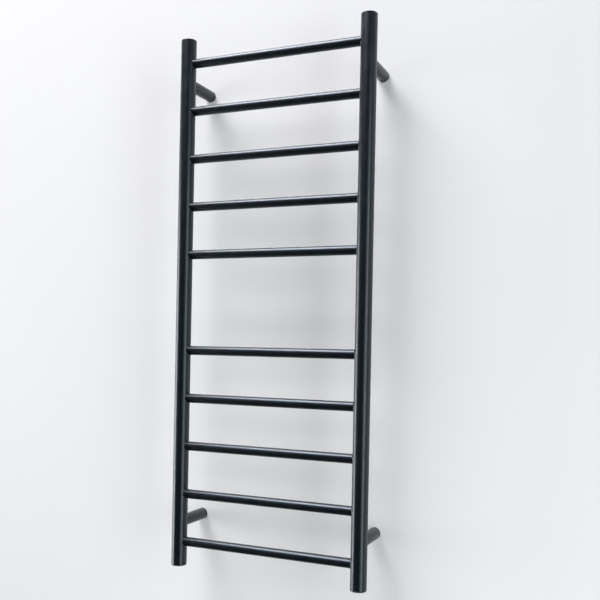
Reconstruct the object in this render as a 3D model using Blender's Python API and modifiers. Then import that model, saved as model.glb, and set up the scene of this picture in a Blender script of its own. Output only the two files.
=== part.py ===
"""Wall-hung ladder towel warmer: two posts, ten rungs and four standoffs that
slide onto wall bosses, with a dry heating cable threaded through the tubes.

Units are metres. +X is to the right, +Y goes into the wall and +Z is up. The
wall plane is y = 0 and the origin is the centre of the four wall bosses.
"""
import math

import bmesh
import bpy
from mathutils import Matrix, Vector

MM = 0.001

# ---- driving sizes -------------------------------------------------------
RAIL_HEIGHT = 1100 * MM
RAIL_WIDTH = 430 * MM
POST_DIAMETER = 32 * MM
POST_WALL = 1.5 * MM
POST_TO_WALL = 95 * MM          # post axis to wall plane

RUNG_DIAMETER = 19 * MM
RUNG_WALL = 1.2 * MM
RUNGS_PER_BANK = 5
BANK_GAP = 200 * MM             # between the two middle rungs, for towels
RUNG_END_DISTANCE = 50 * MM     # end rung's axis to the post's end
RUNG_REACH = 2 * MM             # length of rung inside the post's bore

STANDOFF_DIAMETER = 24 * MM
STANDOFF_WALL = 3 * MM
STANDOFF_END_DISTANCE = 90 * MM  # standoff axis to the post's end
STANDOFF_REACH = 1.5 * MM

GAP = 0.3 * MM                  # between solids that touch in the real object

CAP_THICKNESS = 2 * MM
CAP_EDGE_RADIUS = 0.7 * MM
CAP_SPIGOT_LENGTH = 12 * MM
CAP_SPIGOT_WALL = 2.5 * MM
CAP_LEAD_IN = 0.8 * MM

BOSS_FLANGE = 4 * MM
BOSS_SPIGOT_LENGTH = 18 * MM
BOSS_EDGE = 0.6 * MM
SPIGOT_RIM = 0.5 * MM           # metal outside the cable-side countersink
SPIGOT_WEB = 0.8 * MM           # metal between countersink and cable way
CUTTER_OVERRUN = 0.6 * MM       # how far a cutter stands past the face it opens

WALL_SCREW_SHANK = 4.8 * MM
WALL_SCREW_HEAD = 9.2 * MM
WALL_SCREW_LENGTH = 50 * MM
CABLE_SIDE_SCREW_SHANK = 3.2 * MM
CABLE_SIDE_SCREW_HEAD = 5.4 * MM
SCREW_POINT_LENGTH = 6 * MM
THREAD_PITCH = 3 * MM
THREAD_DEPTH = 0.45 * MM
THREAD_START = 16 * MM
DRIVE_SOCKET_DEPTH = 1.6 * MM
DRIVE_SOCKET_SHARE = 0.42       # socket width as a share of the head

CABLE_HOLE_DIAMETER = 7.2 * MM
GROMMET_WALL = 1.1 * MM
GROMMET_LENGTH = 11 * MM
GROMMET_GROOVE = 0.4 * MM

GRUB_DIAMETER = 5 * MM
GRUB_TO_WALL = 13 * MM
GRUB_SOCKET_WIDTH = 2.5 * MM
GRUB_SOCKET_DEPTH = 1.5 * MM
GRUB_CHAMFER = 0.4 * MM

HEATER_DIAMETER = 4 * MM
HEATER_BEND = 9 * MM
HEATER_TAIL = 5 * MM            # straight cable between last bend and splice

SPLICE_DIAMETER = 5.4 * MM
SPLICE_LENGTH = 18 * MM
SPLICE_END_DIAMETER = 4.4 * MM
SPLICE_TAPER = 2.5 * MM
CUTOUT_WIDTH = 8 * MM
CUTOUT_DEPTH = 6 * MM
CUTOUT_LENGTH = 20 * MM
CUTOUT_ROUNDING = 1 * MM
CUTOUT_TO_BORE = 2.5 * MM       # clearance between the cut-out and the post's bore
CUTOUT_ABOVE_STANDOFF = 22 * MM

EARTH_SCREW_DIAMETER = 4 * MM
EARTH_SCREW_HEAD = 7.6 * MM
EARTH_SCREW_HEAD_HEIGHT = 2.6 * MM
EARTH_SCREW_LENGTH = 8 * MM
EARTH_SCREW_SOCKET = 3 * MM
EARTH_LUG_RADIUS = 4.6 * MM
EARTH_LUG_THICKNESS = 1 * MM
EARTH_TONGUE_WIDTH = 2.9 * MM
EARTH_BARREL_DIAMETER = 3.6 * MM
EARTH_BARREL_BORE = 2.4 * MM
EARTH_BARREL_LENGTH = 9 * MM
EARTH_BARREL_OFFSET = 7.4 * MM  # lug hole to barrel axis

POST_STEPS = 40
RUNG_STEPS = 24
STANDOFF_STEPS = 28
SMALL_STEPS = 16
SCREW_STEPS = 12
ARC_STEPS = 4
SHARP_ANGLE = math.radians(35)  # edges sharper than this are not shaded smooth
SEAM_MERGE = 0.01 * MM          # joins the two ends of a turned surface

# ---- places worked out from the driving sizes ----------------------------
POST_RADIUS = POST_DIAMETER / 2
POST_BORE = POST_RADIUS - POST_WALL
POST_X = RAIL_WIDTH / 2 - POST_RADIUS
POST_Y = -POST_TO_WALL
RUNG_RADIUS = RUNG_DIAMETER / 2
RUNG_INNER_RADIUS = RUNG_RADIUS - RUNG_WALL
STANDOFF_RADIUS = STANDOFF_DIAMETER / 2
STANDOFF_BORE = STANDOFF_RADIUS - STANDOFF_WALL
STANDOFF_Z = RAIL_HEIGHT / 2 - STANDOFF_END_DISTANCE
BOSS_SPIGOT_RADIUS = STANDOFF_BORE - GAP
RUNG_PITCH = (RAIL_HEIGHT - 2 * RUNG_END_DISTANCE - BANK_GAP) / (2 * (RUNGS_PER_BANK - 1))
COUNTERSINK_RADIUS = CABLE_SIDE_SCREW_HEAD / 2 + 2 * GAP
CABLE_SIDE_SCREW_DROP = BOSS_SPIGOT_RADIUS - SPIGOT_RIM - COUNTERSINK_RADIUS
CABLE_HOLE_RISE = (COUNTERSINK_RADIUS - CABLE_SIDE_SCREW_DROP + SPIGOT_WEB
                   + CABLE_HOLE_DIAMETER / 2)
HEATER_RETURN_X = POST_X + POST_BORE - CUTOUT_TO_BORE - CUTOUT_WIDTH / 2


def seat_depth(seated_radius, reach):
    """Distance from a post's axis to the end of a tube seated in its wall."""
    wall_at_edge = math.sqrt(POST_BORE ** 2 - seated_radius ** 2)
    return wall_at_edge - reach


RUNG_END = seat_depth(RUNG_RADIUS, RUNG_REACH)
STANDOFF_END = seat_depth(STANDOFF_RADIUS, STANDOFF_REACH)
CORNERS = {
    "upper_left": (-1, 1),
    "upper_right": (1, 1),
    "lower_left": (-1, -1),
    "lower_right": (1, -1),
}
WIRED_CORNER = "lower_right"


def rung_heights():
    """Heights of the rungs, from the top one down."""
    upper = [BANK_GAP / 2 + RUNG_PITCH * step for step in range(RUNGS_PER_BANK)]
    lower = [-height for height in upper]
    return sorted(upper + lower, reverse=True)


RUNG_HEIGHTS = rung_heights()

# ---- scene and materials -------------------------------------------------


def clear_scene():
    for item in list(bpy.data.objects):
        bpy.data.objects.remove(item, do_unlink=True)


def make_collection(name):
    collection = bpy.data.collections.new(name)
    bpy.context.scene.collection.children.link(collection)
    return collection


def make_material(name, colour, roughness, metallic):
    material = bpy.data.materials.new(name)
    material.use_nodes = True
    shader = material.node_tree.nodes["Principled BSDF"]
    shader.inputs["Base Color"].default_value = (*colour, 1.0)
    shader.inputs["Roughness"].default_value = roughness
    shader.inputs["Metallic"].default_value = metallic
    material.diffuse_color = (*colour, 1.0)
    return material


clear_scene()
PARTS = make_collection("towel_warmer")
CUTTERS = make_collection("cutters")

POWDER_BLACK = ("black_powder_coat", (0.018, 0.022, 0.026), 0.42, 0.0)
ZINC = ("zinc_plated_steel", (0.62, 0.62, 0.60), 0.35, 1.0)
DARK_STEEL = ("black_oxide_steel", (0.035, 0.035, 0.038), 0.4, 1.0)
COATED_ZINC = ("black_coated_zinc", (0.018, 0.020, 0.022), 0.45, 0.0)
SILICONE = ("silicone_cable", (0.55, 0.08, 0.05), 0.6, 0.0)
SHRINK_TUBE = ("shrink_tube", (0.03, 0.03, 0.03), 0.5, 0.0)
CERAMIC = ("cutout_case", (0.78, 0.76, 0.70), 0.5, 0.0)
TINNED_COPPER = ("tinned_copper", (0.70, 0.66, 0.60), 0.3, 1.0)
RUBBER = ("grommet_rubber", (0.02, 0.02, 0.02), 0.8, 0.0)

# ---- modelling helpers ---------------------------------------------------


def add_part(name, shape, look):
    """Make a part object from a mesh or curve, with its own material."""
    part = bpy.data.objects.new(name, shape)
    PARTS.objects.link(part)
    finish, colour, roughness, metallic = look
    shape.materials.append(make_material(f"{name}_{finish}", colour, roughness, metallic))
    return part


def mesh_from(name, shape):
    """A mesh holding a bmesh's faces; the bmesh is used up."""
    mesh = bpy.data.meshes.new(name)
    shape.to_mesh(mesh)
    shape.free()
    return mesh


def smooth(part):
    mesh = part.data
    mesh.shade_smooth()
    mesh.set_sharp_from_angle(angle=SHARP_ANGLE)


def turned(name, profile, steps, look, closed=False):
    """Turn a profile of (radius, height) points about local Z.

    The outer side of the profile runs from top to bottom. A closed profile
    makes a ring or tube; an open one starts and ends on the axis.
    """
    mesh = bpy.data.meshes.new(name)
    points = [(radius, 0.0, height) for radius, height in profile]
    edges = [(index, index + 1) for index in range(len(points) - 1)]
    if closed:
        edges.append((len(points) - 1, 0))
    mesh.from_pydata(points, edges, [])
    part = add_part(name, mesh, look)
    screw = part.modifiers.new("turn", "SCREW")
    screw.angle = math.tau
    screw.steps = steps
    screw.render_steps = steps
    screw.use_merge_vertices = True
    screw.merge_threshold = SEAM_MERGE
    screw.use_smooth_shade = True
    return part


def tube_profile(outer, inner, low, high):
    return [(outer, high), (outer, low), (inner, low), (inner, high)]


def cylinder_into(shape, radius, start, end, segments):
    """Add a closed cylinder from start to end to a bmesh."""
    axis = Vector(end) - Vector(start)
    turn = Vector((0, 0, 1)).rotation_difference(axis).to_matrix().to_4x4()
    middle = Matrix.Translation((Vector(start) + Vector(end)) / 2)
    bmesh.ops.create_cone(
        shape,
        cap_ends=True,
        segments=segments,
        radius1=radius,
        radius2=radius,
        depth=axis.length,
        matrix=middle @ turn,
    )


def cutter_from(name, shape):
    cutter = bpy.data.objects.new(name, mesh_from(name, shape))
    CUTTERS.objects.link(cutter)
    cutter.hide_render = True
    cutter.display_type = "WIRE"
    return cutter


def apply_boolean(part, other, operation="DIFFERENCE"):
    boolean = part.modifiers.new(operation.lower(), "BOOLEAN")
    boolean.operation = operation
    boolean.solver = "EXACT"
    boolean.object = other


def hex_cutter(name, width, start, end):
    """A hexagonal prism cutter, width measured across its flats."""
    shape = bmesh.new()
    across_corners = width / math.cos(math.pi / 6)
    cylinder_into(shape, across_corners / 2, start, end, 6)
    return cutter_from(name, shape)


def corner_place(corner):
    side, level = CORNERS[corner]
    return side * POST_X, level * STANDOFF_Z


# ---- posts, rungs and caps -----------------------------------------------


def make_post(name, side):
    """A round post with a hole for each rung and each standoff."""
    half = RAIL_HEIGHT / 2 - CAP_THICKNESS - GAP
    post = turned(name, tube_profile(POST_RADIUS, POST_BORE, -half, half), POST_STEPS,
                  POWDER_BLACK, closed=True)
    post.location = (side * POST_X, POST_Y, 0)
    holes = bmesh.new()
    past_wall = POST_RADIUS + CUTTER_OVERRUN
    for height in RUNG_HEIGHTS:
        cylinder_into(holes, RUNG_RADIUS + GAP, (0, 0, height),
                      (-side * past_wall, 0, height), RUNG_STEPS)
    for level in (-1, 1):
        height = level * STANDOFF_Z
        cylinder_into(holes, STANDOFF_RADIUS + GAP, (0, 0, height),
                      (0, past_wall, height), STANDOFF_STEPS)
    cutter = cutter_from(f"{name}_holes", holes)
    cutter.location = post.location
    apply_boolean(post, cutter)
    return post


def make_rung(number, height):
    half = POST_X - RUNG_END
    profile = tube_profile(RUNG_RADIUS, RUNG_INNER_RADIUS, -half, half)
    rung = turned(f"rung_{number:02d}", profile, RUNG_STEPS, POWDER_BLACK, closed=True)
    rung.rotation_euler = (0, math.pi / 2, 0)
    rung.location = (0, POST_Y, height)
    return rung


def rounded_rim(radius, top, rounding):
    """Points of a rounded outer edge, from the top face down to the side."""
    points = []
    for step in range(ARC_STEPS + 1):
        angle = math.pi / 2 * (1 - step / ARC_STEPS)
        points.append((radius - rounding + rounding * math.cos(angle),
                       top - rounding + rounding * math.sin(angle)))
    return points


def cap_profile(spigot_is_solid):
    """Cap seen with its outer face up; the spigot points down."""
    spigot = POST_BORE - GAP
    tip = -CAP_SPIGOT_LENGTH
    profile = [(0, CAP_THICKNESS)]
    profile += rounded_rim(POST_RADIUS, CAP_THICKNESS, CAP_EDGE_RADIUS)
    profile += [(POST_RADIUS, 0), (spigot, 0), (spigot, tip + CAP_LEAD_IN),
                (spigot - CAP_LEAD_IN, tip)]
    if spigot_is_solid:
        return profile + [(0, tip)]
    hollow = spigot - CAP_SPIGOT_WALL
    return profile + [(hollow, tip), (hollow, 0), (0, 0)]


def make_cap(corner):
    side, level = CORNERS[corner]
    wired = corner == WIRED_CORNER
    cap = turned(f"{corner}_end_cap", cap_profile(wired), POST_STEPS, POWDER_BLACK)
    cap.location = (side * POST_X, POST_Y, level * (RAIL_HEIGHT / 2 - CAP_THICKNESS))
    if level < 0:
        cap.rotation_euler = (math.pi, 0, 0)
    if wired:
        hole = bmesh.new()
        tip = -CAP_SPIGOT_LENGTH
        cylinder_into(hole, EARTH_SCREW_DIAMETER / 2 + GAP, (0, 0, tip - CAP_THICKNESS),
                      (0, 0, tip + EARTH_SCREW_LENGTH + GAP), SMALL_STEPS)
        cutter = cutter_from("earth_screw_hole", hole)
        cutter.location = cap.location
        cutter.rotation_euler = cap.rotation_euler
        apply_boolean(cap, cutter)
    return cap


# ---- standoffs and what fixes them to the wall ----------------------------


def make_standoff(corner):
    """A sleeve from the post's wall to the boss flange, drilled for its grub screw."""
    x, z = corner_place(corner)
    front = POST_Y + STANDOFF_END
    back = -BOSS_FLANGE - GAP
    length = back - front
    sleeve = turned(f"{corner}_standoff",
                    tube_profile(STANDOFF_RADIUS, STANDOFF_BORE, -length / 2, length / 2),
                    STANDOFF_STEPS, POWDER_BLACK, closed=True)
    sleeve.rotation_euler = (-math.pi / 2, 0, 0)
    sleeve.location = (x, (front + back) / 2, z)
    hole = bmesh.new()
    cylinder_into(hole, GRUB_DIAMETER / 2 + GAP, (x, -GRUB_TO_WALL, z),
                  (x, -GRUB_TO_WALL, z - STANDOFF_DIAMETER), SMALL_STEPS)
    apply_boolean(sleeve, cutter_from(f"{corner}_grub_hole", hole))
    return sleeve


def boss_profile():
    """Boss with its wall face at height 0 and its spigot pointing up."""
    top = BOSS_FLANGE + BOSS_SPIGOT_LENGTH
    profile = [(0, top), (BOSS_SPIGOT_RADIUS - BOSS_EDGE, top),
               (BOSS_SPIGOT_RADIUS, top - BOSS_EDGE), (BOSS_SPIGOT_RADIUS, BOSS_FLANGE)]
    profile += rounded_rim(STANDOFF_RADIUS, BOSS_FLANGE, BOSS_EDGE)
    return profile + [(STANDOFF_RADIUS, 0), (0, 0)]


def screw_sizes(corner):
    """Head diameter, shank diameter and drop below the boss axis."""
    if corner == WIRED_CORNER:
        return CABLE_SIDE_SCREW_HEAD, CABLE_SIDE_SCREW_SHANK, CABLE_SIDE_SCREW_DROP
    return WALL_SCREW_HEAD, WALL_SCREW_SHANK, 0.0


def head_height(head, shank):
    """Height of a 90 degree countersunk head."""
    return (head - shank) / 2


def make_boss(corner):
    """The turned boss that a standoff slides onto, with a countersunk screw hole."""
    x, z = corner_place(corner)
    boss = turned(f"{corner}_wall_boss", boss_profile(), STANDOFF_STEPS, COATED_ZINC)
    boss.rotation_euler = (math.pi / 2, 0, 0)
    boss.location = (x, 0, z)
    head, shank, drop = screw_sizes(corner)
    face = BOSS_FLANGE + BOSS_SPIGOT_LENGTH
    sink = head_height(head, shank)
    hole = bmesh.new()
    cylinder_into(hole, shank / 2 + GAP, (x, BOSS_FLANGE, z - drop),
                  (x, -face - BOSS_FLANGE, z - drop), SMALL_STEPS)
    apply_boolean(boss, cutter_from(f"{corner}_screw_hole", hole))
    cone = bmesh.new()
    depth = sink + GAP                    # the head sits one gap below the face
    bmesh.ops.create_cone(
        cone,
        cap_ends=True,
        segments=SMALL_STEPS,
        radius1=shank / 2 + GAP,
        radius2=head / 2 + 2 * GAP + CUTTER_OVERRUN,
        depth=depth + CUTTER_OVERRUN,
        matrix=Matrix.Translation((x, -face + (depth - CUTTER_OVERRUN) / 2, z - drop))
        @ Matrix.Rotation(math.pi / 2, 4, "X"),
    )
    apply_boolean(boss, cutter_from(f"{corner}_countersink", cone))
    if corner == WIRED_CORNER:
        cut_cable_way(boss, x, z)
    return boss


def cut_cable_way(boss, x, z):
    """A round hole through the flange that is an open slot along the spigot."""
    face = BOSS_FLANGE + BOSS_SPIGOT_LENGTH
    radius = CABLE_HOLE_DIAMETER / 2
    centre = z + CABLE_HOLE_RISE
    hole = bmesh.new()
    cylinder_into(hole, radius, (x, BOSS_FLANGE, centre), (x, -face - BOSS_FLANGE, centre),
                  SMALL_STEPS)
    apply_boolean(boss, cutter_from("cable_hole", hole))
    slot = bmesh.new()
    bmesh.ops.create_cube(
        slot,
        size=1,
        matrix=Matrix.Translation((x, -face, centre + STANDOFF_RADIUS / 2))
        @ Matrix.Diagonal((CABLE_HOLE_DIAMETER, 2 * BOSS_SPIGOT_LENGTH, STANDOFF_RADIUS, 1)),
    )
    apply_boolean(boss, cutter_from("cable_slot", slot))


def thread_profile(radius, low, high):
    """Zigzag outer side of a coarse thread, from high down to low."""
    turns = max(1, int((high - low) / THREAD_PITCH))
    points = []
    for turn in range(turns):
        crest = high - THREAD_PITCH * (turn + 0.5)
        root = high - THREAD_PITCH * (turn + 1)
        points += [(radius, crest), (radius - THREAD_DEPTH, root)]
    return points


def make_wall_screw(corner):
    """Countersunk wood screw that holds a boss to its wall plug."""
    x, z = corner_place(corner)
    head, shank, drop = screw_sizes(corner)
    sink = head_height(head, shank)
    radius = shank / 2
    tip = -WALL_SCREW_LENGTH
    profile = [(0, 0), (head / 2, 0), (radius, -sink), (radius, -THREAD_START)]
    profile += thread_profile(radius, tip + SCREW_POINT_LENGTH, -THREAD_START)
    profile += [(0, tip)]
    screw = turned(f"{corner}_wall_screw", profile, SCREW_STEPS, ZINC)
    screw.rotation_euler = (math.pi / 2, 0, 0)
    front = -(BOSS_FLANGE + BOSS_SPIGOT_LENGTH) + GAP
    screw.location = (x, front, z - drop)
    socket = head * DRIVE_SOCKET_SHARE
    cutter = hex_cutter(f"{corner}_screw_socket", socket, (x, front - sink, z - drop),
                        (x, front + DRIVE_SOCKET_DEPTH, z - drop))
    apply_boolean(screw, cutter)
    return screw


def make_grub_screw(corner):
    """Socket set screw in the sleeve's underside; it presses on the boss spigot."""
    x, z = corner_place(corner)
    length = STANDOFF_RADIUS - BOSS_SPIGOT_RADIUS - 2 * GAP
    radius = GRUB_DIAMETER / 2
    profile = [(0, 0), (radius - GRUB_CHAMFER, 0), (radius, -GRUB_CHAMFER),
               (radius, -length + GRUB_CHAMFER), (radius - GRUB_CHAMFER, -length), (0, -length)]
    grub = turned(f"{corner}_grub_screw", profile, SMALL_STEPS, DARK_STEEL)
    top = z - BOSS_SPIGOT_RADIUS - GAP
    grub.location = (x, -GRUB_TO_WALL, top)
    cutter = hex_cutter(f"{corner}_grub_socket", GRUB_SOCKET_WIDTH,
                        (x, -GRUB_TO_WALL, top - length - GRUB_SOCKET_DEPTH),
                        (x, -GRUB_TO_WALL, top - length + GRUB_SOCKET_DEPTH))
    apply_boolean(grub, cutter)
    return grub


def make_grommet():
    """Ribbed rubber sleeve that lines the wired boss's cable hole."""
    x, z = corner_place(WIRED_CORNER)
    outer = CABLE_HOLE_DIAMETER / 2 - GAP
    inner = outer - GROMMET_WALL
    groove = outer - GROMMET_GROOVE
    third = GROMMET_LENGTH / 3
    profile = [(outer, GROMMET_LENGTH), (outer, 2 * third + GROMMET_GROOVE),
               (groove, 2 * third), (groove, third + GROMMET_GROOVE), (outer, third),
               (outer, 0), (inner, 0), (inner, GROMMET_LENGTH)]
    grommet = turned("cable_grommet", profile, SMALL_STEPS, RUBBER, closed=True)
    grommet.rotation_euler = (math.pi / 2, 0, 0)
    grommet.location = (x, -GAP, z + CABLE_HOLE_RISE)
    return grommet


# ---- heating cable and its connections ------------------------------------


def rounded_route(corners, radius):
    """A route through corner points with each corner turned on an arc."""
    route = [Vector(corners[0])]
    for before, corner, after in zip(corners, corners[1:], corners[2:]):
        corner = Vector(corner)
        towards = (Vector(before) - corner).normalized()
        onwards = (Vector(after) - corner).normalized()
        centre = corner + (towards + onwards) * radius
        for step in range(ARC_STEPS + 2):
            angle = math.pi / 2 * step / (ARC_STEPS + 1)
            along = towards * math.sin(angle) + onwards * math.cos(angle)
            route.append(centre - along * radius)
    route.append(Vector(corners[-1]))
    return route


def heater_start():
    """Height of the heating cable's first end, above the lowest rung."""
    return RUNG_HEIGHTS[-1] + HEATER_BEND + HEATER_TAIL


def heater_corners():
    """Corner points of the serpentine, from the lowest rung up, then down again."""
    corners = [(POST_X, POST_Y, heater_start())]
    side = 1
    for height in reversed(RUNG_HEIGHTS):
        corners.append((side * POST_X, POST_Y, height))
        side = -side
        corners.append((side * POST_X, POST_Y, height))
    corners[-1] = (HEATER_RETURN_X, POST_Y, RUNG_HEIGHTS[0])
    corners.append((HEATER_RETURN_X, POST_Y, cutout_top() + GAP))
    return corners


def cutout_top():
    return -STANDOFF_Z + CUTOUT_ABOVE_STANDOFF + CUTOUT_LENGTH


def make_heating_cable():
    curve = bpy.data.curves.new("heating_cable", "CURVE")
    curve.dimensions = "3D"
    curve.bevel_depth = HEATER_DIAMETER / 2
    curve.bevel_resolution = 2
    curve.use_fill_caps = True
    route = rounded_route(heater_corners(), HEATER_BEND)
    spline = curve.splines.new("POLY")
    spline.points.add(len(route) - 1)
    for point, place in zip(spline.points, route):
        point.co = (*place, 1.0)
    return add_part("heating_cable", curve, SILICONE)


def splice_profile():
    half = SPLICE_LENGTH / 2
    radius = SPLICE_DIAMETER / 2
    end = SPLICE_END_DIAMETER / 2
    return [(0, half), (end, half), (radius, half - SPLICE_TAPER), (radius, -half + SPLICE_TAPER),
            (end, -half), (0, -half)]


def make_splices():
    """Crimped and sleeved joins on the two cold ends of the heating cable."""
    first = turned("start_splice", splice_profile(), SMALL_STEPS, SHRINK_TUBE)
    first.location = (POST_X, POST_Y, heater_start() + GAP + SPLICE_LENGTH / 2)
    second = turned("return_splice", splice_profile(), SMALL_STEPS, SHRINK_TUBE)
    below_cutout = cutout_top() - CUTOUT_LENGTH - GAP
    second.location = (HEATER_RETURN_X, POST_Y, below_cutout - SPLICE_LENGTH / 2)


def make_thermal_cutout():
    """The boxed thermal cut-out in series with the heating cable."""
    shape = bmesh.new()
    size = Matrix.Diagonal((CUTOUT_WIDTH, CUTOUT_DEPTH, CUTOUT_LENGTH, 1))
    bmesh.ops.create_cube(shape, size=1, matrix=size)
    cutout = add_part("thermal_cutout", mesh_from("thermal_cutout", shape), CERAMIC)
    bevel = cutout.modifiers.new("rounding", "BEVEL")
    bevel.width = CUTOUT_ROUNDING
    bevel.segments = 2
    cutout.location = (HEATER_RETURN_X, POST_Y, cutout_top() - CUTOUT_LENGTH / 2)
    return cutout


def earth_seat():
    """Height of the wired end cap's inner face."""
    return -RAIL_HEIGHT / 2 + CAP_THICKNESS + CAP_SPIGOT_LENGTH


def make_earth_lug():
    """Ring terminal on the wired end cap, with its crimp barrel standing up."""
    low = earth_seat() + GAP
    high = low + EARTH_LUG_THICKNESS
    plate = bmesh.new()
    cylinder_into(plate, EARTH_LUG_RADIUS, (POST_X, POST_Y, low), (POST_X, POST_Y, high),
                  SMALL_STEPS)
    lug = add_part("earth_lug", mesh_from("earth_lug", plate), TINNED_COPPER)
    tongue = bmesh.new()
    middle = (POST_X + EARTH_BARREL_OFFSET / 2, POST_Y, (low + high) / 2)
    bmesh.ops.create_cube(
        tongue,
        size=1,
        matrix=Matrix.Translation(middle)
        @ Matrix.Diagonal((EARTH_BARREL_OFFSET, EARTH_TONGUE_WIDTH, EARTH_LUG_THICKNESS, 1)),
    )
    apply_boolean(lug, cutter_from("earth_lug_tongue", tongue), "UNION")
    barrel = bmesh.new()
    at = POST_X + EARTH_BARREL_OFFSET
    cylinder_into(barrel, EARTH_BARREL_DIAMETER / 2, (at, POST_Y, low),
                  (at, POST_Y, low + EARTH_BARREL_LENGTH), SMALL_STEPS)
    apply_boolean(lug, cutter_from("earth_lug_barrel", barrel), "UNION")
    bore = bmesh.new()
    cylinder_into(bore, EARTH_SCREW_DIAMETER / 2 + GAP, (POST_X, POST_Y, low - CAP_THICKNESS),
                  (POST_X, POST_Y, high + CAP_THICKNESS), SMALL_STEPS)
    cylinder_into(bore, EARTH_BARREL_BORE / 2, (at, POST_Y, high + EARTH_LUG_THICKNESS),
                  (at, POST_Y, low + EARTH_BARREL_LENGTH + CAP_THICKNESS), SMALL_STEPS)
    apply_boolean(lug, cutter_from("earth_lug_bores", bore))
    return lug


def make_earth_screw():
    """Pan head screw that clamps the earth lug to the wired end cap."""
    head = EARTH_SCREW_HEAD / 2
    shank = EARTH_SCREW_DIAMETER / 2
    height = EARTH_SCREW_HEAD_HEIGHT
    profile = [(0, height)] + rounded_rim(head, height, height / 2)
    profile += [(head, 0), (shank, 0), (shank, -EARTH_SCREW_LENGTH), (0, -EARTH_SCREW_LENGTH)]
    screw = turned("earth_screw", profile, SMALL_STEPS, ZINC)
    seat = earth_seat() + GAP + EARTH_LUG_THICKNESS + GAP
    screw.location = (POST_X, POST_Y, seat)
    cutter = hex_cutter("earth_screw_socket", EARTH_SCREW_SOCKET,
                        (POST_X, POST_Y, seat + height / 2), (POST_X, POST_Y, seat + 2 * height))
    apply_boolean(screw, cutter)
    return screw


# ---- build -----------------------------------------------------------------


def build():
    make_post("left_post", -1)
    make_post("right_post", 1)
    for number, height in enumerate(RUNG_HEIGHTS, start=1):
        make_rung(number, height)
    for corner in CORNERS:
        make_cap(corner)
        make_standoff(corner)
        make_boss(corner)
        make_wall_screw(corner)
        make_grub_screw(corner)
    make_grommet()
    make_heating_cable()
    make_splices()
    make_thermal_cutout()
    make_earth_lug()
    make_earth_screw()
    bpy.context.view_layer.update()
    for part in PARTS.objects:
        if part.type == "MESH":
            smooth(part)


build()
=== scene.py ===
"""The look of the ladder towel warmer: finer meshes and procedural materials
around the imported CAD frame. Units are metres; +Y goes into the wall.
"""
import math

import bmesh
import bpy
from mathutils import Matrix, Vector


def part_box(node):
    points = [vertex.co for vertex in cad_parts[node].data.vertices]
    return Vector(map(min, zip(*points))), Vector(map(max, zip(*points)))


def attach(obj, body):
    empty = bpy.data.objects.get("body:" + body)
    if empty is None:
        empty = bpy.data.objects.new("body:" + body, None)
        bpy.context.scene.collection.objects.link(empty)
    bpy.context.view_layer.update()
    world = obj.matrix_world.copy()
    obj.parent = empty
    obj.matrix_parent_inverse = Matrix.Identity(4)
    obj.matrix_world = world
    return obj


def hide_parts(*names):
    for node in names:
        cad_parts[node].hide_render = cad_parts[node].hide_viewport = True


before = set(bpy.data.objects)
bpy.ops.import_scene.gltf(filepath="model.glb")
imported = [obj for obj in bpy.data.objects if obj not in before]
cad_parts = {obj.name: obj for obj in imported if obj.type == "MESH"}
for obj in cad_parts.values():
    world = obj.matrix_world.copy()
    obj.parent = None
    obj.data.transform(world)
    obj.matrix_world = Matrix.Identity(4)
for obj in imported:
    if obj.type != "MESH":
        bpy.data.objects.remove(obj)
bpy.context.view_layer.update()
MM = 0.001

# ---- sizes read from the frame, and the small ones it doesn't state --------


def middle(node):
    low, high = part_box(node)
    return (Vector(low) + Vector(high)) / 2


def extent(node):
    low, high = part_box(node)
    return Vector(high) - Vector(low)


def top_of(node):
    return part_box(node)[1][2]


def front_of(node):
    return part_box(node)[0][1]


CORNERS = {
    "upper_left": (-1, 1),
    "upper_right": (1, 1),
    "lower_left": (-1, -1),
    "lower_right": (1, -1),
}
WIRED_CORNER = "lower_right"
SIDES = {"left": -1, "right": 1}
RUNGS = sorted(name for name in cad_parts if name.startswith("rung_"))

GAP = 0.3 * MM
POST_RADIUS = extent("left_post").x / 2
POST_WALL = 1.5 * MM
POST_BORE = POST_RADIUS - POST_WALL
RUNG_RADIUS = extent(RUNGS[0]).z / 2
RUNG_WALL = 1.2 * MM
STANDOFF_RADIUS = extent("upper_left_standoff").z / 2
STANDOFF_WALL = 3 * MM
STANDOFF_BORE = STANDOFF_RADIUS - STANDOFF_WALL
BOSS_SPIGOT_RADIUS = STANDOFF_BORE - GAP
BOSS_DEPTH = extent("upper_left_wall_boss").y
BOSS_FLANGE = 4 * MM
CAP_DEPTH = extent("upper_left_end_cap").z
CAP_THICKNESS = 2 * MM
CAP_SPIGOT_WALL = 2.5 * MM
CABLE_HOLE_RADIUS = 3.6 * MM
GRUB_RADIUS = 2.5 * MM
EARTH_SCREW_RADIUS = 2 * MM
EARTH_SCREW_LENGTH = 8 * MM
EARTH_SCREW_PITCH = 0.7 * MM
EARTH_SCREW_THREAD = 0.3 * MM
EARTH_SCREW_SOCKET = 3 * MM      # across flats
SPLICE_END_RADIUS = 2.2 * MM
SPLICE_TAPER = 2.5 * MM
SPLICE_RINGS = 48
CRIMP_PLACE = 0.35               # crimp's distance from the middle, in half lengths
CRIMP_SPREAD = 1.3 * MM
CRIMP_DEPTH = 0.22 * MM
GROMMET_WALL = 1.1 * MM
GROMMET_GROOVE = 0.4 * MM
CUTOUT_ROUND = 0.9 * MM
CUTOUT_RINGS = 80
CUTOUT_SEAM = 0.3 * MM
CUTOUT_SQUARENESS = 0.28         # 1 would be an ellipse, 0 a sharp rectangle

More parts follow.
